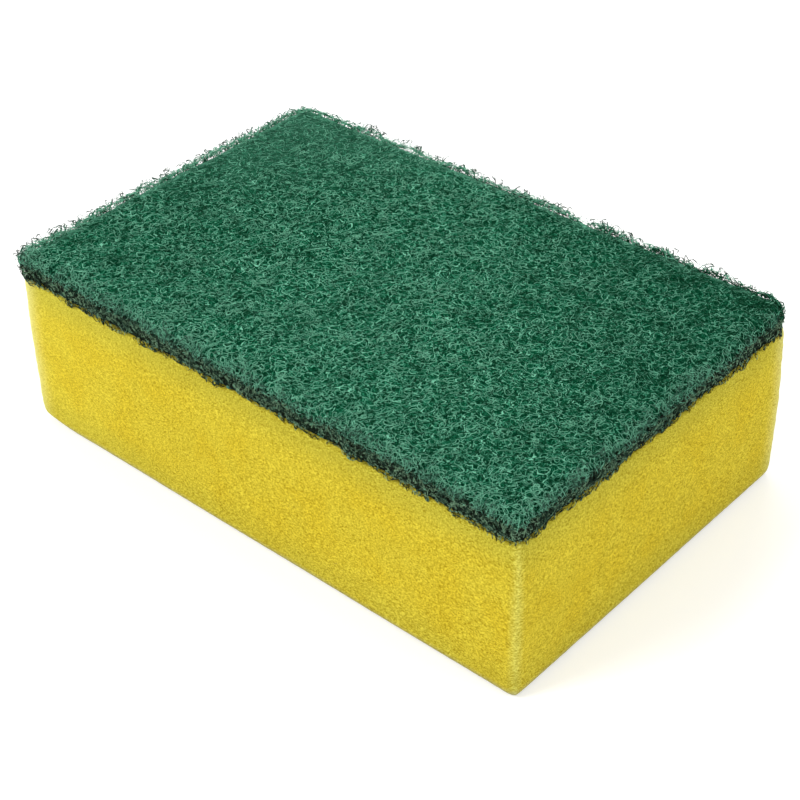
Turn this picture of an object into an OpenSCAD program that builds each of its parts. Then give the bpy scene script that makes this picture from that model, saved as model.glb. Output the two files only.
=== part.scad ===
// Sponge scourer: an open-cell foam block with a non-woven scouring pad bonded to its top.
// Origin at the middle of the face it rests on, X along the length, Z up, millimetres.

/* [Foam block] */
// Length of the foam block
foam_l = 110; // [80:1:160]
// Width of the foam block
foam_w = 72; // [50:1:110]
// Height of the foam block, up to the bond
foam_h = 30; // [18:0.5:60]
// Radius of the upright edge between the front and right sides
crisp_edge_r = 1.4; // [0.6:0.1:5]
// Radius of the other three upright edges
soft_edge_r = 2.4; // [0.6:0.1:8]
// Radius that the front left upright edge has worn to, away from the bond
worn_edge_r = 2.8; // [0.6:0.1:10]
// Radius of the edge all round the base
base_edge_r = 1.6; // [0.4:0.1:4]
// How far the bond draws each side in at the top
bond_pull = 0.5; // [0:0.1:1.5]
// Height of foam below the bond that is drawn in
pull_h = 13; // [4:0.5:13]

/* [Scouring pad] */
// Thickness of the web from the bond to its highest strands
pad_t = 5; // [2.5:0.5:12]
// How far the web stands out past the drawn-in foam on each side
pad_overhang = 0.2; // [0:0.1:2]
// Radius of the web's upright edges
pad_edge_r = 2.4; // [1.2:0.1:6]
// How far the top of the web rounds over at its rim
pad_crown_r = 0.9; // [0.3:0.1:1]
// Depth of the hollows between the strands
nap_h = 0.9; // [0:0.05:1]
// Distance between matted strands
strand_pitch = 4.2; // [2.5:0.1:12]
// Depth of the nicks in the cut rim
rim_nick = 0.5; // [0:0.05:0.8]

/* [Fineness] */
// Distance between points on the web's top
web_step = 1.7; // [1.5:0.1:4]
// Steps on each rounded edge
arc_n = 4; // [3:1:6]

/* [Hidden] */

// The foam's outline where the bond holds it, and the web's outline round that.
bond_l = foam_l - 2 * bond_pull;
bond_w = foam_w - 2 * bond_pull;
pad_l = bond_l + 2 * pad_overhang;
pad_w = bond_w + 2 * pad_overhang;

// ---- Skins over stacked outlines ----

function raised(points, z) = [for (p = points) [p[0], p[1], z]];

// Triangles of the wall between rings of n points that start at index first.
function wall(first, n, rings) =
    [for (j = [0:1:rings - 2], i = [0:n - 1])
        let (a = first + j * n + i, b = first + j * n + (i + 1) % n) each [[a, a + n, b + n], [a, b + n, b]]];

// Triangles that close a ring with a fan round the point at index middle.
function fan(first, n, middle, up) =
    [for (i = [0:n - 1])
        let (a = first + i, b = first + (i + 1) % n) up ? [middle, b, a] : [middle, a, b]];

// ---- Foam block ----

least_r = 0.2;   // no corner gets sharper than this as an outline is set in
wall_steps = 8;  // rings on the drawn-in part of the foam

// A corner's arc; corners run anticlockwise from the front right one.
function corner_arc(i, l, w, r) =
    let (cx = (i < 2 ? 1 : -1) * (l / 2 - r), cy = (i == 1 || i == 2 ? 1 : -1) * (w / 2 - r))
    [for (k = [0:2 * arc_n])
        let (a = 90 * (i - 1) + 90 * k / (2 * arc_n)) [cx + r * cos(a), cy + r * sin(a)]];

function fade(t) = t * t * (3 - 2 * t);
function mix(a, b, t) = a + (b - a) * t;

// How firmly the bond holds the foam at height z, 1 at the bond.
function hold(z) = fade(max(0, 1 - (foam_h - z) / pull_h));

// How far the side stands in at height z: the rounded base edge, then the pull of the bond.
function foam_inset(z) =
    z < base_edge_r
        ? base_edge_r - sqrt(max(0, pow(base_edge_r, 2) - pow(base_edge_r - z, 2)))
        : bond_pull * hold(z);

// Radius of a corner's upright edge at height z.
function edge_r(i, z) =
    i == 0 ? crisp_edge_r : i == 3 ? mix(worn_edge_r, soft_edge_r, hold(z)) : soft_edge_r;

// The foam's outline at height z.
function foam_outline(z) =
    let (d = foam_inset(z))
    [for (i = [0:3]) each corner_arc(i, foam_l - 2 * d, foam_w - 2 * d, max(least_r, edge_r(i, z) - d))];

foam_levels = concat(
    [for (k = [0:arc_n]) base_edge_r * (1 - cos(90 * k / arc_n))],
    [for (k = [0:wall_steps]) foam_h - pull_h * (1 - k / wall_steps)]);

module foam_block() {
    rings = [for (z = foam_levels) raised(foam_outline(z), z)];
    n = len(rings[0]);
    last = n * (len(rings) - 1);
    base_middle = last + n;
    bond_middle = base_middle + 1;
    color([0.90, 0.80, 0.18])
        polyhedron(
            concat([for (ring = rings) each ring], [[0, 0, 0], [0, 0, foam_h]]),
            concat(wall(0, n, len(rings)), fan(0, n, base_middle, false), fan(last, n, bond_middle, true)),
            convexity = 4);
}

// ---- Scouring pad ----

noise_seed = 1000;           // first of the random numbers behind the noise
noise_stride = [157, 31];    // steps between the seeds of neighbouring knots
nap_seat = [40, 0];          // where in the noise the strands' bends are read
patch_seat = [0, 60];        // where the dense and thin patches are read
nick_seat = [90, 0];         // where the nicks of the rim are read
strand_bend = 2;             // how far the strands bend, in pitches
bend_rate = 0.6;             // bends for each pitch
patch_rate = 0.4;            // patches for each pitch
patch_share = 0.35;          // how much of the nap's depth follows the patches
nick_rate = 1.3;             // nicks for each pitch

// Smooth noise, 0 to 1, with one knot for each unit of p.
function knot(i, j) = rands(0, 1, 1, noise_seed + noise_stride * [i, j])[0];
function noise(p) =
    let (i = floor(p[0]), j = floor(p[1]), u = fade(p[0] - i), v = fade(p[1] - j))
    mix(mix(knot(i, j), knot(i + 1, j), u), mix(knot(i, j + 1), knot(i + 1, j + 1), u), v);

// Matted strands: curling ridges, 1 along a strand and 0 in a hollow between strands.
function strands(x, y) =
    let (p = [x, y] / strand_pitch,
         bend = strand_bend * noise(bend_rate * p + nap_seat),
         ridge = 1 - abs(2 * noise(p + [bend, -bend]) - 1))
    mix(ridge, noise(patch_rate * p + patch_seat), patch_share);

// How deep the rim is nicked at a point on the web's outline and height z above the bond.
function nick(x, y, z) = rim_nick * noise(nick_rate * [x + z, y - z] / strand_pitch + nick_seat);

// Grid lines across a span, with arc_n of them inside each rounded corner.
function lines(span, r) =
    let (inner = span - 2 * r, n = max(2, round(inner / web_step)))
    concat([for (k = [0:arc_n - 1]) -span / 2 + r * k / arc_n],
           [for (k = [0:n]) inner * (k / n - 0.5)],
           [for (k = [1:arc_n]) span / 2 - r * (1 - k / arc_n)]);

xs = lines(pad_l, pad_edge_r);
ys = lines(pad_w, pad_edge_r);
nx = len(xs);
ny = len(ys);

// Bends the square corner of the grid into the web's round one.
function rounded(p) =
    let (d = [max(0, abs(p[0]) - pad_l / 2 + pad_edge_r), max(0, abs(p[1]) - pad_w / 2 + pad_edge_r)],
         turn = min(d) > 0 ? max(d) / norm(d) : 1)
    [sign(p[0]) * (abs(p[0]) - d[0] + d[0] * turn), sign(p[1]) * (abs(p[1]) - d[1] + d[1] * turn)];

// Index pairs of the grid's border, anticlockwise from the front left corner.
border = concat(
    [for (i = [0:nx - 2]) [i, 0]], [for (j = [0:ny - 2]) [nx - 1, j]],
    [for (i = [nx - 1:-1:1]) [i, ny - 1]], [for (j = [ny - 1:-1:1]) [0, j]]);

function set_in(p, d) = let (s = [1 - 2 * d / pad_l, 1 - 2 * d / pad_w]) [p[0] * s[0], p[1] * s[1]];

// The rim at height z above the bond, set in by d and by its own nicks.
function rim(d, z) =
    [for (b = border)
        let (p = rounded([xs[b[0]], ys[b[1]]]), q = set_in(p, d + nick(p[0], p[1], z)))
            [q[0], q[1], foam_h + z]];

// The web's top, row by row, low where the strands lie deep and along its crowned rim.
function web_top() =
    [for (j = [0:ny - 1], i = [0:nx - 1])
        let (p = rounded([xs[i], ys[j]]),
             q = set_in(p, pad_crown_r + nick(p[0], p[1], pad_t)),
             at_rim = i == 0 || j == 0 || i == nx - 1 || j == ny - 1)
            [q[0], q[1], foam_h + pad_t - nap_h * (at_rim ? 1 : 1 - strands(q[0], q[1]))]];

// Each level of the rim: how far it is set in, and its height above the bond.
crown_share = 0.3;   // of the crown's radius, where the rim starts to lean in
shoulder_z = pad_t - nap_h - pad_crown_r;
rim_levels = [
    [0, 0], [0, shoulder_z / 2], [0, shoulder_z],
    [crown_share * pad_crown_r, pad_t - nap_h - crown_share * pad_crown_r]];

module scouring_pad() {
    n = len(border);
    first_top = n * len(rim_levels);
    bond_middle = first_top + nx * ny;
    last_rim = first_top - n;
    top_border = [for (b = border) first_top + b[1] * nx + b[0]];
    color([0.17, 0.44, 0.33])
        polyhedron(
            concat([for (level = rim_levels) each rim(level[0], level[1])], web_top(), [[0, 0, foam_h]]),
            concat(
                wall(0, n, len(rim_levels)),
                [for (i = [0:n - 1])
                    let (k = (i + 1) % n, a = last_rim + i, b = last_rim + k)
                        each [[a, top_border[i], top_border[k]], [a, top_border[k], b]]],
                [for (j = [0:ny - 2], i = [0:nx - 2])
                    let (a = first_top + j * nx + i) each [[a, a + nx, a + nx + 1], [a, a + nx + 1, a + 1]]],
                fan(0, n, bond_middle, false)),
            convexity = 6);
}

foam_block();
scouring_pad();
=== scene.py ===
"""Sponge scourer: a yellow foam block under a dark green web of curled, resin-bonded strands.

The foam is remeshed finely enough for its grain, and the web is a dark batt wrapped in thousands of
single strands that curl round and over each other.
"""
import math
from typing import NamedTuple

import bmesh
import bpy
import numpy as np
from mathutils import Matrix, Vector


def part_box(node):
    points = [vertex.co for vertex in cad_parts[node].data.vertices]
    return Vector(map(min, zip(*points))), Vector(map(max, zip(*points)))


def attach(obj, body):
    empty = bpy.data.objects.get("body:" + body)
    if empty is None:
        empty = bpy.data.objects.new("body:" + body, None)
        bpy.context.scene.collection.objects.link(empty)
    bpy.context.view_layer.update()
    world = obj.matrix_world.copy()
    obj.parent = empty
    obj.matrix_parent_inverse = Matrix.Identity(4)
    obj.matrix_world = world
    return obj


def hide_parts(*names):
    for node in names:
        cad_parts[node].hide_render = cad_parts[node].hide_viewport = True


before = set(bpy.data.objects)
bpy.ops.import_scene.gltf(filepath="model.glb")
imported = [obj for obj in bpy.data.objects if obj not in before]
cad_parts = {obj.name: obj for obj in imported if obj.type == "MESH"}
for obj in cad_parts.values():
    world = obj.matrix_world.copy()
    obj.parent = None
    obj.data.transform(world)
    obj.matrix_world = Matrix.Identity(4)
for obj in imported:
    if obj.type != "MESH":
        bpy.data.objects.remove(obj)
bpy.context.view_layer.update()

bl_info = {
    "name": "Sponge Scourer",
    "version": (1, 0, 0),
    "blender": (4, 5, 0),
    "location": "3D View > Sidebar > Sponge",
    "description": "Builds a foam sponge with a scouring web bonded to its top",
    "category": "Add Mesh",
}

MM = 0.001
BODY = "root"
FOAM_NODE = "foam_block"
WEB_NODE = "scouring_pad"
FOAM_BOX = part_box(FOAM_NODE)
WEB_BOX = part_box(WEB_NODE)
BOND = WEB_BOX[0].z

# The foam. Its base has worn up at its front left corner.
WORN_LIFT = 1.6 * MM  # how far
WORN_REACH = 10 * MM  # how far from the corner
WORN_HEIGHT = 7 * MM  # up to which height
HELD = 2 * MM  # its grain and sway fade over this at the base and the bond
FOAM_DRIFT = 9 * MM  # size of its golden patches

# The web's skin.
WEB_RADIUS = 1.8 * MM  # of the rounding where the top turns down into the cut rim
WEB_CORNERS = ((3.2 * MM, 5.2 * MM), (0.7 * MM, 4.6 * MM))  # of its left and right edges: front, back
SWELL = 0.3 * MM  # how far it swells and sinks

# Its strands.
TUCK_HEIGHT = 4.2 * MM  # strands this far above the foam, or less, are tucked in
WORN_FROM = 74 * MM  # strands stand out less where their |x| and y add up to more than this
WORN_OVER = 12 * MM  # over which that wear would become complete
WORN_MOST = 0.4  # the most of it that shows
DIVE = 0.6 * MM  # length over which a strand dives and comes up again
DROOP = 0.2 * MM  # how far the lowest strands hang over the bond
FRINGE = 0.7 * MM  # how unevenly they hang
TIGHTEST = 1.5  # the tightest curls, against the usual ones
SECTION = 0.58  # corner of a strand's section from its middle, against its width
KNOT_SIZE = 2.6  # width of a knot, against its strand
EDGE_DEPTH = 2.6 * MM  # strands nearer than this to the outline start to count as edge
EDGE_WIDTH = 1.8 * MM  # and this much further out they are wholly edge

WEB_DRIFT = 7 * MM  # size of their paler and darker drifts
PATCH_SIZE = 0.75 * MM  # of the light and dark patches in the cut rim
GLEAM_SIZE = 0.4 * MM  # of the lighter places along a strand
HOLE_SIZE = 0.62 * MM  # of the dark holes between them

# The batt inside them.
BATT_VOXEL = 1.0 * MM  # distance between points on its skin
BATT_ROUGH = 0.2 * MM  # depth of its roughness
FOOT_HEIGHT = 1.6 * MM  # height of its foot, which is set in deeper
# Lower painted layers are also painted darker, as shade deeper in the web
MAT_LEVELS = (0.05, 0.15, 0.25, 0.1, 0.3, 0.2, 0.45, 0.7, 1.0)  # how high each painted layer of strands lies
RIM_LEVELS = (0.15, 0.25, 0.4)  # how light each painted layer on its rim is

# The stage.
SENSOR_WIDTH = 36  # the camera's, in millimetres
FLOOR_REACH = 3  # metres from the floor's middle to each side
FLOOR_DROP = 0.05 * MM  # how far it lies under the base
FLOOR_GLOW = 0.4  # how much whiter it looks than it is lit


# ---------------------------------------------------------------- settings


class SpongeFoamSettings(bpy.types.PropertyGroup):
    """Sizes and colours of the foam block"""

    voxel: bpy.props.FloatProperty(
        name="Mesh size", description="Distance between points on the foam's skin",
        default=0.8 * MM, min=0.3 * MM, precision=5, subtype="DISTANCE", unit="LENGTH")
    pore: bpy.props.FloatProperty(
        name="Pore size", description="Distance between the foam's pores",
        default=0.58 * MM, min=0.1 * MM, precision=5, subtype="DISTANCE", unit="LENGTH")
    grain: bpy.props.FloatProperty(
        name="Grain", description="Height of the foam's grain",
        default=0.035 * MM, min=0.0, precision=6, subtype="DISTANCE", unit="LENGTH")
    sway: bpy.props.FloatProperty(
        name="Sway", description="How far the sides wander from a true plane",
        default=0.08 * MM, min=0.0, precision=5, subtype="DISTANCE", unit="LENGTH")
    colour: bpy.props.FloatVectorProperty(
        name="Colour", description="The foam's own yellow",
        default=(0.91, 0.755, 0.06), size=3, min=0.0, max=1.0, subtype="COLOR")
    golden_colour: bpy.props.FloatVectorProperty(
        name="Golden colour", description="The warmer yellow of some patches",
        default=(0.9, 0.715, 0.044), size=3, min=0.0, max=1.0, subtype="COLOR")
    pore_tint: bpy.props.FloatVectorProperty(
        name="Pore tint", description="What the yellow is multiplied by inside a pore",
        default=(0.5, 0.42, 0.05), size=3, min=0.0, max=1.0, subtype="COLOR")
    # Painted shade, with green light thrown back by the web, for the foam just under the web; also mixed in
    # lightly towards the base
    web_shade_colour: bpy.props.FloatVectorProperty(
        name="Web shade colour", description="The duller yellow just under the web",
        default=(0.59, 0.59, 0.085), size=3, min=0.0, max=1.0, subtype="COLOR")
    # Painted highlight along the upright edges
    edge_highlight_colour: bpy.props.FloatVectorProperty(
        name="Edge colour", description="The brighter yellow along the upright edges",
        default=(1.0, 0.95, 0.2), size=3, min=0.0, max=1.0, subtype="COLOR")
    # Painted shade along the rounded edge round the base
    base_shade_colour: bpy.props.FloatVectorProperty(
        name="Base edge colour", description="The greyer yellow along the edge round the base",
        default=(0.64, 0.63, 0.38), size=3, min=0.0, max=1.0, subtype="COLOR")
    # Painted highlight round the softer upright edges
    pale_highlight_colour: bpy.props.FloatVectorProperty(
        name="Pale colour", description="The pale yellow round the softer upright edges",
        default=(1.0, 0.97, 0.4), size=3, min=0.0, max=1.0, subtype="COLOR")
    seed: bpy.props.IntProperty(name="Seed", description="Start of the foam's random numbers", default=5)


class SpongeWebSettings(bpy.types.PropertyGroup):
    """Sizes and colours of the scouring web"""

    width: bpy.props.FloatProperty(
        name="Strand width", description="Thickness of one strand",
        default=0.085 * MM, min=0.05 * MM, precision=5, subtype="DISTANCE", unit="LENGTH")
    step: bpy.props.FloatProperty(
        name="Strand step", description="Distance between points along a strand",
        default=0.27 * MM, min=0.1 * MM, precision=5, subtype="DISTANCE", unit="LENGTH")
    curl: bpy.props.FloatProperty(
        name="Curl radius", description="Usual radius of a strand's curls",
        default=0.38 * MM, min=0.2 * MM, precision=5, subtype="DISTANCE", unit="LENGTH")
    points: bpy.props.IntProperty(
        name="Strand points", description="Points along one strand", default=30, min=4)
    strands: bpy.props.IntProperty(
        name="Strands in a layer", description="Number of strands in each layer", default=1030, min=1)
    batt_depth: bpy.props.FloatProperty(
        name="Batt depth", description="How deep the dense batt lies under the top of the web",
        default=0.38 * MM, min=0.2 * MM, precision=5, subtype="DISTANCE", unit="LENGTH")
    batt_inset: bpy.props.FloatProperty(
        name="Batt inset", description="How far inside the cut rim the dense batt lies",
        default=0.25 * MM, min=0.1 * MM, precision=5, subtype="DISTANCE", unit="LENGTH")
    colour: bpy.props.FloatVectorProperty(
        name="Strand colour", description="The green of the strands on top",
        default=(0.19, 0.52, 0.345), size=3, min=0.0, max=1.0, subtype="COLOR")
    # Painted shade deep inside the web
    deep_shade_colour: bpy.props.FloatVectorProperty(
        name="Deep colour", description="The dark green inside the web",
        default=(0.001, 0.06, 0.026), size=3, min=0.0, max=1.0, subtype="COLOR")
    # Painted shade, with the more saturated green of light bounced inside the web
    deep_shade_tint: bpy.props.FloatVectorProperty(
        name="Deep tint", description="What the green is multiplied by deep inside the web",
        default=(0.35, 1.0, 0.85), size=3, min=0.0, max=1.0, subtype="COLOR")
    # Painted shade in the holes between strands
    hole_shade_colour: bpy.props.FloatVectorProperty(
        name="Hole colour", description="The darkest green, in the holes between strands",
        default=(0.0005, 0.03, 0.012), size=3, min=0.0, max=1.0, subtype="COLOR")
    ghost_colour: bpy.props.FloatVectorProperty(
        name="Batt colour", description="The green of the matted strands in the batt",
        default=(0.2, 0.59, 0.39), size=3, min=0.0, max=1.0, subtype="COLOR")
    rim_colour: bpy.props.FloatVectorProperty(
        name="Rim colour", description="The greyer green of the strands in the cut rim",
        default=(0.24, 0.42, 0.26), size=3, min=0.0, max=1.0, subtype="COLOR")
    loose_colour: bpy.props.FloatVectorProperty(
        name="Loose colour", description="The dark green of the thin strands that stand off the rim",
        default=(0.018, 0.05, 0.032), size=3, min=0.0, max=1.0, subtype="COLOR")
    haze_colour: bpy.props.FloatVectorProperty(
        name="Haze colour", description="The paler green of loose strands between their knots",
        default=(0.06, 0.16, 0.11), size=3, min=0.0, max=1.0, subtype="COLOR")
    seed: bpy.props.IntProperty(name="Seed", description="Start of the web's random numbers", default=11)


class SpongeStageSettings(bpy.types.PropertyGroup):
    """Where the camera and the lamps stand"""

    azimuth: bpy.props.FloatProperty(
        name="Azimuth", description="How far round the camera stands from the long side",
        default=math.radians(41.96), subtype="ANGLE", unit="ROTATION")
    elevation: bpy.props.FloatProperty(
        name="Elevation", description="How high the camera looks down from",
        default=math.radians(36.65), subtype="ANGLE", unit="ROTATION")
    roll: bpy.props.FloatProperty(
        name="Roll", description="How far the camera is turned about its own axis",
        default=math.radians(-1.105), subtype="ANGLE", unit="ROTATION")
    distance: bpy.props.FloatProperty(
        name="Distance", description="From the camera to the middle of the base",
        default=313.3 * MM, precision=4, subtype="DISTANCE", unit="LENGTH")
    aside: bpy.props.FloatProperty(
        name="Aside", description="How far right of the middle of the base the camera aims",
        default=0.49 * MM, precision=5, subtype="DISTANCE", unit="LENGTH")
    above: bpy.props.FloatProperty(
        name="Above", description="How far above the middle of the base the camera aims",
        default=7.51 * MM, precision=5, subtype="DISTANCE", unit="LENGTH")
    lens: bpy.props.FloatProperty(
        name="Lens", description="Focal length on a sensor 36 mm wide", default=79.46, unit="CAMERA")
    sky: bpy.props.FloatProperty(
        name="Sky", description="Strength of the even light from all round", default=0.6, min=0.0)
    key_power: bpy.props.FloatProperty(
        name="Key power", description="Power of the lamp over the long side", default=3.3,
        min=0.0, subtype="POWER", unit="POWER")
    fill_power: bpy.props.FloatProperty(
        name="Fill power", description="Power of the lamp over the short side", default=1.5,
        min=0.0, subtype="POWER", unit="POWER")
    back_power: bpy.props.FloatProperty(
        name="Back power", description="Power of the lamp behind", default=1.6,
        min=0.0, subtype="POWER", unit="POWER")


# ---------------------------------------------------------------- materials


class Value:
    """An output socket. Arithmetic on it adds Math nodes to its material."""

    def __init__(self, paint, socket):
        self.paint = paint
        self.socket = socket

    def math(self, operation, *others):
        """The outcome of a Math node on this value and others."""
        values = (self,) + others
        return self.paint.node("ShaderNodeMath", {"operation": operation}, dict(enumerate(values)))

    def __add__(self, other):
        return self.math("ADD", other)

    __radd__ = __add__

    def __sub__(self, other):
        return self.math("SUBTRACT", other)

    def __rsub__(self, other):
        return self.paint.node("ShaderNodeMath", {"operation": "SUBTRACT"}, {0: other, 1: self})

    def __mul__(self, other):
        return self.math("MULTIPLY", other)

    __rmul__ = __mul__

    def __pow__(self, other):
        return self.math("POWER", other)

    def between(self, low, high):
        """0 below low and 1 above high, with an eased ramp between them."""
        return self.paint.node(
            "ShaderNodeMapRange", {"interpolation_type": "SMOOTHSTEP"},
            {"Value": self, "From Min": low, "From Max": high})


class Paint:
    """The nodes of a material, or of a world, written as expressions."""

    def __init__(self, name, kind="Material"):
        makers = {"Material": bpy.data.materials, "World": bpy.data.worlds}
        self.owner = makers[kind].new(name)
        self.owner.use_nodes = True
        self.tree = self.owner.node_tree
        self.tree.nodes.clear()
        self.output = self.tree.nodes.new("ShaderNodeOutput" + kind)

    def node(self, kind, settings=None, inputs=None, output=0):
        """Adds a node of a kind with its settings and inputs, and returns one of its outputs."""
        node = self.tree.nodes.new(kind)
        for name, value in (settings or {}).items():
            setattr(node, name, value)
        for key, value in (inputs or {}).items():
            if isinstance(value, Value):
                self.tree.links.new(value.socket, node.inputs[key])
            else:
                node.inputs[key].default_value = value
        return Value(self, node.outputs[output])

    def place(self):
        """Object coordinates, in metres."""
        return self.node("ShaderNodeTexCoord", output="Object")

    def axes(self, vector=None):
        """The X, Y and Z of a vector, or else of the object coordinates."""
        parts = self.node("ShaderNodeSeparateXYZ", inputs={0: vector or self.place()}).socket.node
        return [Value(self, parts.outputs[i]) for i in range(3)]

    def noise(self, size, detail=2.0, roughness=0.5, at=None):
        """Noise from 0 to 1 whose lumps are about size across."""
        return self.node("ShaderNodeTexNoise", inputs={
            "Vector": at or self.place(), "Scale": 1 / size, "Detail": detail, "Roughness": roughness})

    def cells(self, size, at=None):
        """Distance from the middle of the nearest cell, as a share of the cells' size."""
        return self.node("ShaderNodeTexVoronoi", inputs={"Vector": at or self.place(), "Scale": 1 / size})

    def mix(self, factor, first, second, blend="MIX"):
        """A colour between two others, which are values or plain colours."""
        first, second = (c if isinstance(c, Value) else (*c, 1.0) for c in (first, second))
        settings = {"data_type": "RGBA", "blend_type": blend, "clamp_factor": True}
        return self.node("ShaderNodeMix", settings, {0: factor, 6: first, 7: second}, output=2)

    def bump(self, height, distance, strength=1.0):
        """The normals of a surface with a height, from 0 to 1, that stands for a distance."""
        return self.node("ShaderNodeBump", inputs={
            "Height": height, "Distance": distance, "Strength": strength})

    def end(self, shader):
        """Ends the nodes in a shader, and returns what they belong to."""
        self.tree.links.new(shader.socket, self.output.inputs["Surface"])
        return self.owner

    def finish(self, **inputs):
        """Ends the material in one Principled shader."""
        named = {key.replace("_", " "): value for key, value in inputs.items()}
        return self.end(self.node("ShaderNodeBsdfPrincipled", inputs=named))


def darker(colour, share):
    """A colour at a share of its brightness."""
    return [share * part for part in colour]


def foam_paint(settings):
    """Matt yellow foam with drifts of tone and dark pores.

    Its upright edges carry painted highlights; it has painted shade and green bounce light under the web,
    painted shade along the edge round its base, and is duller towards its base.
    """
    paint = Paint("Foam")
    x, y, z = paint.axes()
    half = FOAM_BOX[1]

    def upright_edge(reach):
        """0 further than a reach from an upright edge, and 1 on it."""
        along = x.math("ABSOLUTE") - (half.x - reach)
        across = y.math("ABSOLUTE") - (half.y - reach)
        return along.math("MINIMUM", across).between(0.0, reach)

    drift = paint.noise(FOAM_DRIFT, detail=3.0)
    colour = paint.mix(drift.between(0.4, 0.65), settings.colour, settings.golden_colour)
    # Painted shade, with green light thrown back by the web, just under the web
    under_web = (z + (drift - 0.5) * 3 * MM).between(half.z - 8 * MM, half.z)
    colour = paint.mix(under_web * 0.54, colour, settings.web_shade_colour)
    # Painted highlight along the upright edges
    wear_and_highlight = upright_edge(2.4 * MM) ** 1.4
    colour = paint.mix(wear_and_highlight * 0.95, colour, settings.edge_highlight_colour)
    # Painted highlight round the softer upright edges, strongest on the front and right faces; it also
    # weakens the grain there
    not_crisp = (x - y).between(75 * MM, 45 * MM)
    on_front_or_right = (0.8 * x - 1.2 * y).between(-2 * MM, -0.3 * MM)
    soft = not_crisp * upright_edge(7.5 * MM) ** 2 * 0.92
    soft = soft * (on_front_or_right * 0.7 + 0.3)
    colour = paint.mix(soft, colour, settings.pale_highlight_colour)
    # Duller towards the base, in the colour of the painted shade under the web
    low = z.between(10 * MM, 1 * MM)
    colour = paint.mix(low * 0.36, colour, settings.web_shade_colour)
    # Painted shade along the rounded edge round the base
    base_edge = z.between(2.3 * MM, 0.3 * MM)
    colour = paint.mix(base_edge * 0.9, colour, settings.base_shade_colour)

    at = paint.node("ShaderNodeMapping", inputs={"Vector": paint.place(), "Scale": (0.8, 0.8, 1.3)})
    grain = paint.noise(0.45 * settings.pore, detail=2.0, roughness=0.6, at=at).between(0.62, 0.38)
    pores = paint.cells(1.1 * settings.pore, at=at).between(0.36, 0.12)
    seams = (paint.noise(1.6 * settings.pore, detail=1.0, at=at) - 0.5).math("ABSOLUTE")
    seams = seams.between(0.06, 0.0)
    left = x.between(-15 * MM, -50 * MM)
    dark = (grain * 0.65 + pores * 0.35 + seams * 0.3) * (1 - soft * 0.7 - left * 0.25)
    colour = paint.mix(dark, colour, settings.pore_tint, blend="MULTIPLY")
    return paint.finish(
        Base_Color=colour, Roughness=0.95, Specular_IOR_Level=0.15,
        Normal=paint.bump(1 - 0.7 * grain - 0.6 * pores, 0.12 * MM, 0.7))


def web_holes(paint):
    """1 in the scattered dark holes of the web, 0 on the mat between them."""
    return paint.noise(HOLE_SIZE, detail=2.0).between(0.56, 0.6)


def web_outskirts(paint):
    """Up to 1 towards the web's far right corner and half that at its left end, where its top is darker."""
    x, y, _ = paint.axes()
    return (x + y).between(5 * MM, 75 * MM).math("MAXIMUM", x.between(-10 * MM, -50 * MM) * 0.5)


def web_faded(paint):
    """Up to 0.3 towards the web's far left corner, where the painted shade of its holes is evened out towards
    a mid tone.
    """
    x, y, _ = paint.axes()
    return (y - x).between(30 * MM, 85 * MM) * 0.3


def far_rims(paint, inset):
    """0 up to an inset from the block's back and left sides, and 1 from 2.5 mm further out."""
    x, y, _ = paint.axes()
    half = FOAM_BOX[1]
    back = y.between(half.y - inset, half.y - inset + 2.5 * MM)
    left = x.between(inset - half.x, inset - half.x - 2.5 * MM)
    return back.math("MAXIMUM", left)


def down_rim(height, start, full):
    """0 down to a start over the bond, and 1 from full on down."""
    return height.between(BOND + start, BOND + full)


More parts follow.
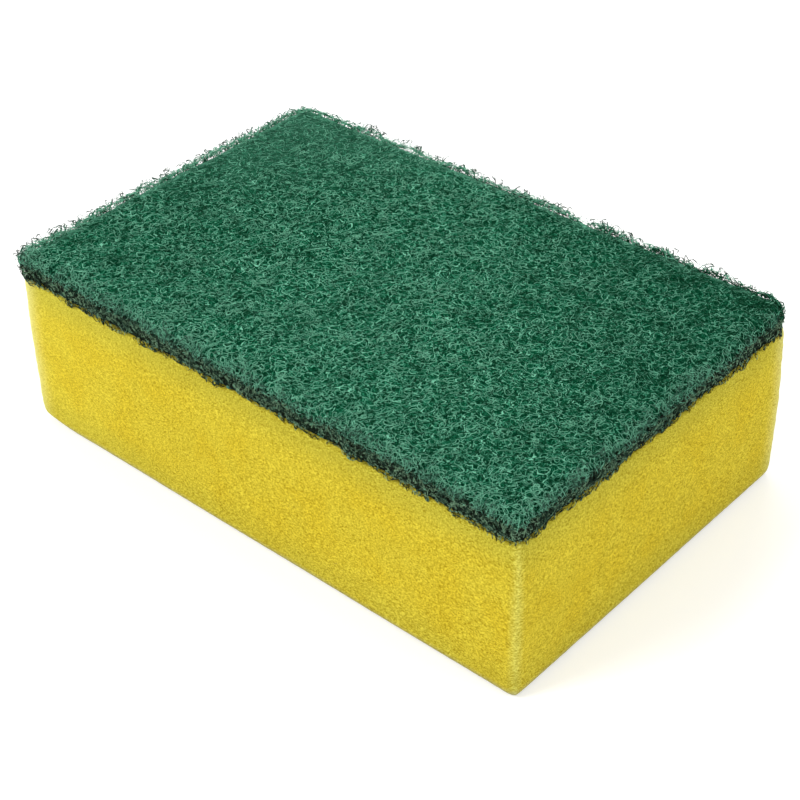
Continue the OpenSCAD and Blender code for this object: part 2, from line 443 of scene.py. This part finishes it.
def strand_paint(settings):
    """Green resin on single strands, each with its own tone, in paler and darker drifts."""
    paint = Paint("Web strands")
    tone, depth, rim, edge, knot = (
        paint.node("ShaderNodeAttribute", {"attribute_name": name}, output="Fac")
        for name in ("strand_tone", "strand_depth", "strand_rim", "strand_edge", "strand_knot"))
    x, y, z = paint.axes()
    far = far_rims(paint, 4 * MM)
    drift = paint.noise(WEB_DRIFT, detail=2.0)
    gleam = paint.noise(GLEAM_SIZE, detail=1.0)
    patch = paint.noise(PATCH_SIZE, detail=1.0)

    # Painted shade, from the pale strands on top to the dark ones deep inside and over the holes, with a
    # little painted highlight on strands near the outline.
    sunk = web_holes(paint) * (depth + 0.2).between(0.0, 0.25)
    lively = 1 - edge * 0.4
    shade = (depth + 0.3) * 1.35 + (drift - 0.5) * 0.5 + lively * ((tone - 0.5) * 0.7 + (gleam - 0.5) * 0.6)
    shade = shade + sunk + web_outskirts(paint) * 0.3 - edge * 0.08
    # Painted light from behind on the far rims, lighter towards the left end and darker towards the right
    to_right = x.between(-40 * MM, 10 * MM)
    shade = shade + far * (to_right * 0.45 - 0.3)
    far_right_corner = (x + y).between(76 * MM, 88 * MM)
    shade = shade + far_right_corner * 0.35
    shade = shade.between(0.2, 0.85)
    shade = shade + (0.35 - shade) * web_faded(paint)
    colour = paint.mix(shade, settings.colour, settings.deep_shade_colour)
    colour = paint.mix(shade, colour, settings.deep_shade_tint, blend="MULTIPLY")

    # The cut rim, which is greyer, with near-black patches of painted shade in its holes, and darkest at its
    # foot, partly painted shade and partly darker resin.
    lowered = rim * down_rim(z + far * 1.5 * MM, 5.3 * MM, 3 * MM)
    cut = lowered * (1.1 + (drift - 0.5) * 1.2) + lowered.between(0.0, 0.25) * (patch - 0.5) * 3
    foot = down_rim(z, 1.6 * MM, 0.4 * MM)
    dull = shade * 0.4 + foot * 0.5 + (patch - 0.5) * 10 + (tone - 0.5) * 0.8
    dull = paint.mix(dull.between(-0.2, 0.25), settings.rim_colour, darker(settings.rim_colour, 0.03))
    colour = paint.mix(cut.between(0.3, 0.58), colour, dull)

    # Loose ends, darkened partly with painted shade and partly as dark resin, and the knots of resin near the
    # outline.
    loose = edge * depth.between(-0.5, -1.0)
    stray = paint.mix(knot, settings.haze_colour, settings.loose_colour)
    colour = paint.mix(loose * (0.35 + 0.65 * far), colour, stray)
    colour = paint.mix(knot * edge * 0.85, colour, settings.loose_colour)
    return paint.finish(Base_Color=colour, Roughness=0.6, Specular_IOR_Level=0.05)


def ghost_strands(paint, radius, turn, tilt=None):
    """How far each point is from one layer of bent strands, which lie flat if they have a tilt."""
    flat = "3D" if tilt is None else "2D"
    turned = (turn, 2 * turn, 3 * turn) if tilt is None else (*tilt, turn)
    at = paint.node(
        "ShaderNodeMapping", {"vector_type": "TEXTURE"},
        {"Vector": paint.place(), "Rotation": turned, "Scale": (0.8, 1.5, 1)})
    bend = paint.node(
        "ShaderNodeTexNoise", {"noise_dimensions": flat},
        {"Vector": at, "Scale": 0.7 / radius, "Detail": 0.0}, output=1)
    bent = paint.node(
        "ShaderNodeVectorMath", {"operation": "MULTIPLY_ADD"}, {0: bend, 1: [radius] * 3, 2: at})
    spread = paint.node(
        "ShaderNodeTexVoronoi", {"voronoi_dimensions": flat}, {"Vector": bent, "Scale": 0.5 / radius})
    return (spread - 0.5).math("ABSOLUTE") * (2 * radius)


def batt_top(paint, settings):
    """Colour and height of the batt's top: holes of painted shade under layer on layer of curly strands, each
    ringed with painted shade.
    """
    top = settings.hole_shade_colour
    height = 0.0
    holes = web_holes(paint)
    for layer, level in enumerate(MAT_LEVELS):
        tilt = (0.6 * math.sin(2.4 * layer), 0.6 * math.cos(2.4 * layer))
        away = ghost_strands(paint, (0.36 + 0.03 * layer) * MM, 1.1 * layer, tilt)
        shade = away.between(0.13 * MM, 0.08 * MM) * 0.95
        lines = away.between(0.066 * MM, 0.04 * MM) * (1 - 0.9 * holes)
        ghost = [
            low + (high - low) * level ** bend
            for low, high, bend in zip(settings.hole_shade_colour, settings.ghost_colour, (1.8, 1.0, 1.2))]
        top = paint.mix(shade, top, settings.hole_shade_colour)
        top = paint.mix(lines, top, ghost)
        height = lines * level + height * (1 - shade)
    top = paint.mix(web_outskirts(paint) * 0.3, top, settings.hole_shade_colour)
    top = paint.mix(web_faded(paint), top, darker(settings.ghost_colour, 0.36))
    # Painted light from behind on the far rims
    top = paint.mix(far_rims(paint, 3.5 * MM) * 0.6, top, settings.ghost_colour)
    return top, height


def batt_paint(settings):
    """The dense inside of the web: a matted top, and a dark cut rim of painted shade with few strands."""
    paint = Paint("Web batt")
    top, height = batt_top(paint, settings)
    z = paint.axes()[2]
    up = paint.axes(paint.node("ShaderNodeTexCoord", output="Normal"))[2]
    # A dark base of painted shade in the rim's holes, under a few lighter strands
    rim = darker(settings.rim_colour, 0.05)
    for layer, level in enumerate(RIM_LEVELS):
        lines = ghost_strands(paint, 0.8 * MM, 1.1 * layer + 0.8).between(0.08 * MM, 0.05 * MM)
        rim = paint.mix(lines, rim, darker(settings.rim_colour, level))
    # Darkest at the foot, partly painted shade and partly darker resin
    foot = down_rim(z, 1.4 * MM, 0.4 * MM)
    rim = paint.mix(foot * 0.8, rim, darker(settings.rim_colour, 0.03))
    uneven = (paint.noise(2 * MM) - 0.5) * 3 * MM
    low = down_rim(z + uneven, 3.6 * MM, 2.2 * MM)
    colour = paint.mix(low * up.between(0.75, 0.35), top, rim)
    return paint.finish(
        Base_Color=colour, Roughness=0.9, Specular_IOR_Level=0.0,
        Normal=paint.bump(height, 0.12 * MM))


# ---------------------------------------------------------------- shared shapes


def add_piece(name, mesh, paint, node):
    """Links a mesh as a piece that rides with the body and stands for a node."""
    piece = bpy.data.objects.new(name, mesh)
    bpy.context.scene.collection.objects.link(piece)
    mesh.materials.clear()
    mesh.materials.append(paint)
    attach(piece, BODY)
    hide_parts(node)
    return piece


def evaluated_mesh(piece):
    """A mesh of a piece with its modifiers applied. The piece itself is deleted."""
    bpy.context.view_layer.update()
    shape = piece.evaluated_get(bpy.context.evaluated_depsgraph_get())
    mesh = bpy.data.meshes.new_from_object(shape)
    bpy.data.objects.remove(piece)
    return mesh


def remeshed_node(node, voxel):
    """A copy of a CAD node's mesh, merged and remeshed in even quads."""
    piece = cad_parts[node].copy()
    piece.data = piece.data.copy()
    piece.parent = None
    piece.hide_viewport = False
    bpy.context.scene.collection.objects.link(piece)
    shape = bmesh.new()
    shape.from_mesh(piece.data)
    bmesh.ops.remove_doubles(shape, verts=shape.verts, dist=0.001 * MM)
    shape.to_mesh(piece.data)
    shape.free()
    remesh = piece.modifiers.new("Remesh", "REMESH")
    remesh.mode = "VOXEL"
    remesh.voxel_size = voxel
    return evaluated_mesh(piece)


def points_of(mesh, what="co"):
    """The points, or the normals at the points, of a mesh as rows."""
    rows = np.zeros(len(mesh.vertices) * 3, np.float32)
    if what == "co":
        mesh.vertices.foreach_get("co", rows)
    else:
        mesh.vertex_normals.foreach_get("vector", rows)
    return rows.reshape(-1, 3).astype(float)


def set_points(mesh, points):
    """Moves the points of a mesh to rows of places."""
    mesh.vertices.foreach_set("co", points.astype(np.float32).ravel())
    mesh.update()
    mesh.shade_smooth()


class Waves:
    """A smooth random field, about -1 to 1, made of crossing waves of one length."""

    def __init__(self, rng, length, count=9):
        turns = rng.normal(size=(count, 3))
        turns /= np.linalg.norm(turns, axis=1)[:, None]
        self.turns = turns * 2 * math.pi / (length * rng.uniform(0.75, 1.4, (count, 1)))
        self.starts = rng.uniform(0, 2 * math.pi, count)

    def __call__(self, points):
        """The field at each of the points."""
        unit = math.sqrt(2 / len(self.starts))
        return np.sin(points @ self.turns.T + self.starts).sum(1) * unit / 1.5


# ---------------------------------------------------------------- strands


class WebSkin:
    """The rounded outer surface of the web, as a distance and an outward direction."""

    def __init__(self, seed):
        rng = np.random.default_rng(seed)
        low, high = WEB_BOX
        self.middle = np.array([(low.x + high.x) / 2, (low.y + high.y) / 2, low.z])
        self.half = np.array([(high.x - low.x) / 2, (high.y - low.y) / 2, high.z - low.z])
        self.swell = Waves(rng, 10 * MM)
        self.jags = Waves(rng, 2 * MM)

    def distance(self, points):
        """How far points stand out of the surface, and the way out."""
        offset = points - self.middle
        offset[:, 2] = np.maximum(offset[:, 2], 0)
        corner = np.array(WEB_CORNERS)[(offset[:, 0] > 0).astype(int), (offset[:, 1] > 0).astype(int)]
        over = np.abs(offset[:, :2]) - self.half[:2] + corner[:, None]
        sideways = np.maximum(over, 0)
        sideways[np.arange(len(over)), over.argmax(1)] += 1e-9
        reach = np.linalg.norm(sideways, axis=1)
        beside = np.maximum(reach + np.minimum(over.max(1), 0) - corner + WEB_RADIUS, 1e-9)
        above = np.maximum(offset[:, 2] - self.half[2] + WEB_RADIUS, 1e-9)
        size = np.hypot(beside, above)
        way = np.column_stack((sideways * (beside / reach)[:, None], above)) / size[:, None]
        way *= np.sign(offset + 1e-12)
        return size - WEB_RADIUS - SWELL * self.swell(points), way

    def starts(self, rng, count, rim_share):
        """Random points on the surface, with a share of them on its cut rim, more towards its crest."""
        across = self.half[:2]
        height = self.half[2]
        on_rim = rng.random(count) < rim_share
        points = np.empty((count, 3))
        points[:, :2] = rng.uniform(-1, 1, (count, 2)) * across
        points[:, 2] = height
        long_side = rng.random(count) < across[0] / across.sum()
        side = np.where(rng.random(count) < 0.5, -1.0, 1.0)
        low = rng.random(count) ** 0.6 * height
        points[on_rim & long_side, 1] = (side * across[1])[on_rim & long_side]
        points[on_rim & ~long_side, 0] = (side * across[0])[on_rim & ~long_side]
        points[on_rim, 2] = low[on_rim]
        return points + self.middle


def wander(rng, count, points, step, reach):
    """Random values of unit spread that drift over a reach along each strand."""
    keep = math.exp(-step / reach)
    values = np.empty((points, count))
    values[0] = rng.normal(size=count)
    for k in range(1, points):
        values[k] = keep * values[k - 1] + math.sqrt(1 - keep * keep) * rng.normal(size=count)
    for _ in range(2):
        values[1:-1] = 0.25 * values[:-2] + 0.5 * values[1:-1] + 0.25 * values[2:]
    return values / values.std()


def grow_strands(rng, skin, settings, layer):
    """Lets strands curl over the skin between two depths. Returns points, strand by strand, and depths."""
    step = settings.step
    count = settings.strands
    curls = wander(rng, count, settings.points, step, 0.9 * settings.curl)
    curls = curls.clip(-TIGHTEST, TIGHTEST) / settings.curl
    waves = wander(rng, count, settings.points, step, DIVE)
    depths = layer.deep + (layer.shallow - layer.deep) / (1 + np.exp(1.3 * waves)) ** layer.thinning
    place = skin.starts(rng, count, layer.rim_share)
    heading = rng.normal(size=(count, 3))
    lowest = BOND - DROOP * rng.random(count)
    path = np.empty((settings.points, count, 3))
    for k in range(settings.points):
        out, way = skin.distance(place)
        tuck = np.clip(1 - (place[:, 2] - BOND) / TUCK_HEIGHT, 0, 1)
        wear_and_highlight = np.clip((np.abs(place[:, 0]) + place[:, 1] - WORN_FROM) / WORN_OVER, 0, WORN_MOST)
        depths[k] *= np.where(depths[k] < 0, (1 - tuck) ** 1.5 * (1 - wear_and_highlight), place[:, 2] > BOND)
        place = place - way * (out + depths[k])[:, None]
        floor = lowest + FRINGE * skin.jags(place * (1, 1, 0)).clip(-0.45, 1)
        under = place[:, 2] < floor
        place[under, 2] = floor[under]
        heading[under, 2] = np.abs(heading[under, 2])
        heading -= way * (heading * way).sum(1)[:, None]
        heading += np.cross(way, heading) * (curls[k] * step)[:, None]
        heading /= np.maximum(np.linalg.norm(heading, axis=1), 1e-9)[:, None]
        path[k] = place
        place = place + heading * step
    return path.transpose(1, 0, 2), depths.T


def strand_profile(width):
    """The three-cornered section that strands are swept with."""
    profile = bpy.data.curves.new("strand_profile", "CURVE")
    spline = profile.splines.new("POLY")
    spline.points.add(2)
    spline.use_cyclic_u = True
    for k, point in enumerate(spline.points):
        turn = 2 * math.pi * k / 3
        point.co = (SECTION * width * math.cos(turn), SECTION * width * math.sin(turn), 0, 1)
    holder = bpy.data.objects.new("strand_profile", profile)
    bpy.context.scene.collection.objects.link(holder)
    return holder


def sweep_strands(name, paths, radii, width):
    """One mesh of strands that are swept along the paths, and that narrow to a point where a radius is 0."""
    curve = bpy.data.curves.new(name, "CURVE")
    curve.dimensions = "3D"
    curve.bevel_mode = "OBJECT"
    curve.bevel_object = strand_profile(width)
    count, points, _ = paths.shape
    rows = np.ones((points, 4), np.float32)
    for strand in range(count):
        spline = curve.splines.new("POLY")
        spline.points.add(points - 1)
        rows[:, :3] = paths[strand]
        spline.points.foreach_set("co", rows.ravel())
        spline.points.foreach_set("radius", radii[strand].astype(np.float32))
    piece = bpy.data.objects.new(name, curve)
    bpy.context.scene.collection.objects.link(piece)
    mesh = evaluated_mesh(piece)
    bpy.data.objects.remove(curve.bevel_object)
    if len(mesh.vertices) != 3 * count * points:
        raise RuntimeError(f"{name}: {len(mesh.vertices)} points where {3 * count * points} were swept")
    return mesh


def close_ends(mesh):
    """Merges the points that meet at the strands' tips."""
    shape = bmesh.new()
    shape.from_mesh(mesh)
    bmesh.ops.remove_doubles(shape, verts=shape.verts, dist=0.0001 * MM)
    shape.to_mesh(mesh)
    shape.free()
    mesh.shade_smooth()


def add_value(mesh, name, values):
    """Stores one value for each point of a mesh."""
    attribute = mesh.attributes.new(name, "FLOAT", "POINT")
    attribute.data.foreach_set("value", values.astype(np.float32).ravel())


class Layer(NamedTuple):
    """How one layer of strands lies in the web, and what its strands are like."""

    name: str
    shallow: float  # least depth under the skin, below 0 where strands stand out of it
    deep: float  # greatest depth under the skin
    rim_share: float  # share of the strands that start on the cut rim
    width: float = 1.0  # against the usual width
    knots: float = 0.0  # share of the points that are knots of resin
    thinning: float = 1.0  # above 1, fewer strands come near the least depth


LAYERS = (
    Layer("web_strands_lower", -0.1 * MM, 0.45 * MM, 0.12),
    Layer("web_strands_top", -0.3 * MM, 0.4 * MM, 0.12),
    Layer("web_strands_cut", -0.4 * MM, 0.4 * MM, 0.55),
    Layer("web_strands_rim", -0.8 * MM, 0.4 * MM, 1.0, knots=0.06),
    Layer("web_strands_loose", -1.6 * MM, 0.1 * MM, 1.0, width=0.75, knots=0.2, thinning=1.6))


def add_strands(layer, settings, paint, seed):
    """One layer of strands, as a piece."""
    rng = np.random.default_rng(seed)
    skin = WebSkin(settings.seed)
    paths, depths = grow_strands(rng, skin, settings, layer)
    radii = np.repeat(rng.uniform(0.75, 1.2, (settings.strands, 1)), settings.points, axis=1)
    knotted = rng.random(radii.shape) < layer.knots
    knotted |= np.roll(knotted, 1, axis=1)
    radii[knotted] *= KNOT_SIZE
    radii[:, [0, -1]] = 0
    mesh = sweep_strands(layer.name, paths, radii, layer.width * settings.width)
    points = points_of(mesh)
    _, way = skin.distance(points)
    outer = np.abs(points - skin.middle)[:, :2] - (skin.half[:2] - EDGE_DEPTH)
    add_value(mesh, "strand_tone", np.repeat(rng.random(settings.strands), 3 * settings.points))
    add_value(mesh, "strand_depth", np.repeat(depths.ravel() / MM, 3))
    add_value(mesh, "strand_rim", np.clip(1 - 1.4 * way[:, 2], 0, 1))
    add_value(mesh, "strand_edge", np.clip(outer.max(1) / EDGE_WIDTH, 0, 1))
    add_value(mesh, "strand_knot", np.repeat(knotted.ravel(), 3))
    close_ends(mesh)
    return add_piece(layer.name, mesh, paint, WEB_NODE)


# ---------------------------------------------------------------- operators


class SPONGE_OT_camera(bpy.types.Operator):
    """Stands the camera over the corner between the long and the short side"""

    bl_idname = "sponge.camera"
    bl_label = "Camera"

    def execute(self, context):
        stage = context.scene.sponge_stage
        back = Vector((
            math.sin(stage.azimuth) * math.cos(stage.elevation),
            -math.cos(stage.azimuth) * math.cos(stage.elevation),
            math.sin(stage.elevation)))
        right = Vector((math.cos(stage.azimuth), math.sin(stage.azimuth), 0))
        up = back.cross(right)
        turn = Matrix.Rotation(stage.roll, 3, back)
        right = turn @ right
        up = turn @ up
        data = bpy.data.cameras.new("Camera")
        data.lens = stage.lens
        data.sensor_width = SENSOR_WIDTH
        data.clip_start = 0.01
        camera = bpy.data.objects.new("Camera", data)
        place = back * stage.distance + right * stage.aside + up * stage.above
        turned = Matrix((right, up, back)).transposed().to_4x4()
        camera.matrix_world = Matrix.Translation(place) @ turned
        context.scene.collection.objects.link(camera)
        context.scene.camera = camera
        return {"FINISHED"}


class SPONGE_OT_stage(bpy.types.Operator):
    """Lays the pale floor, the white surroundings and the soft lamps"""

    bl_idname = "sponge.stage"
    bl_label = "Stage"

    def execute(self, context):
        settings = context.scene.sponge_stage
        self.lay_floor(context)
        self.light_sky(context, settings.sky)
        self.hang_lamp(context, "Key", (-0.25, -0.55, 0.6), 0.3, settings.key_power)
        self.hang_lamp(context, "Fill", (0.6, 0.1, 0.5), 0.5, settings.fill_power)
        self.hang_lamp(context, "Back", (-0.4, 0.55, 0.45), 0.5, settings.back_power)
        context.scene.view_settings.view_transform = "Standard"
        return {"FINISHED"}

    def lay_floor(self, context):
        """A pale floor that shows nearly white and still takes the shadow."""
        shape = bmesh.new()
        bmesh.ops.create_grid(shape, x_segments=1, y_segments=1, size=FLOOR_REACH)
        bmesh.ops.translate(shape, verts=shape.verts, vec=(0, 0, -FLOOR_DROP))
        mesh = bpy.data.meshes.new("Floor")
        shape.to_mesh(mesh)
        shape.free()
        paint = Paint("Floor")
        diffuse = paint.node("ShaderNodeBsdfDiffuse", inputs={"Color": (0.8, 0.8, 0.8, 1)})
        seen = self.seen_directly(paint)
        glow = paint.node("ShaderNodeEmission", inputs={"Color": (1, 1, 1, 1), "Strength": seen * FLOOR_GLOW})
        both = paint.node("ShaderNodeAddShader", inputs={0: diffuse, 1: glow})
        mesh.materials.append(paint.end(both))
        floor = bpy.data.objects.new("Floor", mesh)
        context.scene.collection.objects.link(floor)

    def seen_directly(self, paint):
        """1 where the camera, a reflection or a clear material looks, 0 for other light."""
        path = paint.node("ShaderNodeLightPath").socket.node
        camera, glossy, clear = (
            Value(paint, path.outputs[name])
            for name in ("Is Camera Ray", "Is Glossy Ray", "Is Transmission Ray"))
        return camera.math("MAXIMUM", glossy).math("MAXIMUM", clear)

    def light_sky(self, context, strength):
        """Even light of a strength from all round, which shows as white."""
        paint = Paint("Studio", "World")
        shown = self.seen_directly(paint) * (1 - strength) + strength
        sky = paint.node("ShaderNodeBackground", inputs={"Color": (1, 1, 1, 1), "Strength": shown})
        context.scene.world = paint.end(sky)

    def hang_lamp(self, context, name, place, size, power):
        """A round lamp at a place, turned to the middle of the floor."""
        data = bpy.data.lights.new(name, "AREA")
        data.shape = "DISK"
        data.size = size
        data.energy = power
        lamp = bpy.data.objects.new(name, data)
        lamp.location = place
        lamp.rotation_euler = Vector(place).to_track_quat("Z", "Y").to_euler()
        context.scene.collection.objects.link(lamp)


class SPONGE_OT_foam(bpy.types.Operator):
    """Makes the foam block, finely meshed, with its grain and slightly wandering sides"""

    bl_idname = "sponge.foam"
    bl_label = "Foam block"

    def execute(self, context):
        settings = context.scene.sponge_foam
        rng = np.random.default_rng(settings.seed)
        mesh = remeshed_node(FOAM_NODE, settings.voxel)
        points = points_of(mesh)
        ways = points_of(mesh, "normal")
        low, high = FOAM_BOX
        off_base = np.clip((points[:, 2] - low.z) / HELD, 0, 1)
        off_bond = np.clip((high.z - points[:, 2]) / HELD, 0, 1)
        sway = settings.sway * Waves(rng, 30 * MM)(points)
        grain = settings.grain * rng.normal(size=len(points))
        points += ways * ((sway + grain) * off_base * np.maximum(off_bond, 0.2))[:, None]
        near = np.clip(1 - np.linalg.norm(points[:, :2] - (low.x, low.y), axis=1) / WORN_REACH, 0, 1)
        lift = np.clip(1 - (points[:, 2] - low.z) / WORN_HEIGHT, 0, 1)
        points[:, 2] += WORN_LIFT * near ** 2 * lift
        set_points(mesh, points)
        foam = add_piece("foam_body", mesh, foam_paint(settings), FOAM_NODE)
        return {"FINISHED"}


class SPONGE_OT_batt(bpy.types.Operator):
    """Makes the dense batt inside the web, which the strands wrap"""

    bl_idname = "sponge.batt"
    bl_label = "Web batt"

    def execute(self, context):
        settings = context.scene.sponge_web
        rng = np.random.default_rng(settings.seed)
        mesh = remeshed_node(WEB_NODE, BATT_VOXEL)
        points = points_of(mesh)
        skin = WebSkin(settings.seed)
        out, way = skin.distance(points)
        on_bond = points[:, 2] < BOND + 0.2 * MM
        rough = BATT_ROUGH * Waves(rng, 2.4 * MM, 24)(points)
        depth = settings.batt_inset + (settings.batt_depth - settings.batt_inset) * way[:, 2] ** 2
        above_foot = np.clip((points[:, 2] - BOND) / FOOT_HEIGHT, 0, 1)
        depth *= above_foot + (1 - above_foot) * (2.0 + 1.4 * skin.jags(points * (1, 1, 0)))
        moved = points - way * np.maximum(out + depth + rough, 0)[:, None]
        moved[on_bond, 2] = points[on_bond, 2]
        set_points(mesh, moved)
        add_piece("web_batt", mesh, batt_paint(settings), WEB_NODE)
        return {"FINISHED"}


class SPONGE_OT_strands(bpy.types.Operator):
    """Makes the layers of single strands round the batt, from the deepest to the loose ones on top"""

    bl_idname = "sponge.strands"
    bl_label = "Web strands"

    def execute(self, context):
        settings = context.scene.sponge_web
        paint = strand_paint(settings)
        for number, layer in enumerate(LAYERS, 1):
            add_strands(layer, settings, paint, settings.seed + number)
        return {"FINISHED"}


class SPONGE_PT_panel(bpy.types.Panel):
    """Lists the sponge's settings and the steps that build it"""

    bl_idname = "SPONGE_PT_panel"
    bl_label = "Sponge Scourer"
    bl_space_type = "VIEW_3D"
    bl_region_type = "UI"
    bl_category = "Sponge"

    def draw(self, context):
        for title, settings, operators in (
                ("Stage", context.scene.sponge_stage, (SPONGE_OT_camera, SPONGE_OT_stage)),
                ("Foam", context.scene.sponge_foam, (SPONGE_OT_foam,)),
                ("Web", context.scene.sponge_web, (SPONGE_OT_batt, SPONGE_OT_strands))):
            box = self.layout.box()
            box.label(text=title)
            for name in settings.__annotations__:
                box.prop(settings, name)
            for operator in operators:
                box.operator(operator.bl_idname)


CLASSES = (
    SpongeFoamSettings, SpongeWebSettings, SpongeStageSettings,
    SPONGE_OT_camera, SPONGE_OT_stage, SPONGE_OT_foam, SPONGE_OT_batt, SPONGE_OT_strands,
    SPONGE_PT_panel)


def register():
    for kind in CLASSES:
        bpy.utils.register_class(kind)
    bpy.types.Scene.sponge_foam = bpy.props.PointerProperty(type=SpongeFoamSettings)
    bpy.types.Scene.sponge_web = bpy.props.PointerProperty(type=SpongeWebSettings)
    bpy.types.Scene.sponge_stage = bpy.props.PointerProperty(type=SpongeStageSettings)


def unregister():
    del bpy.types.Scene.sponge_stage
    del bpy.types.Scene.sponge_web
    del bpy.types.Scene.sponge_foam
    for kind in reversed(CLASSES):
        bpy.utils.unregister_class(kind)


def main():
    register()
    bpy.ops.sponge.camera()
    bpy.ops.sponge.foam()
    bpy.ops.sponge.batt()
    bpy.ops.sponge.strands()
    bpy.ops.sponge.stage()


if __name__ == "__main__":
    main()
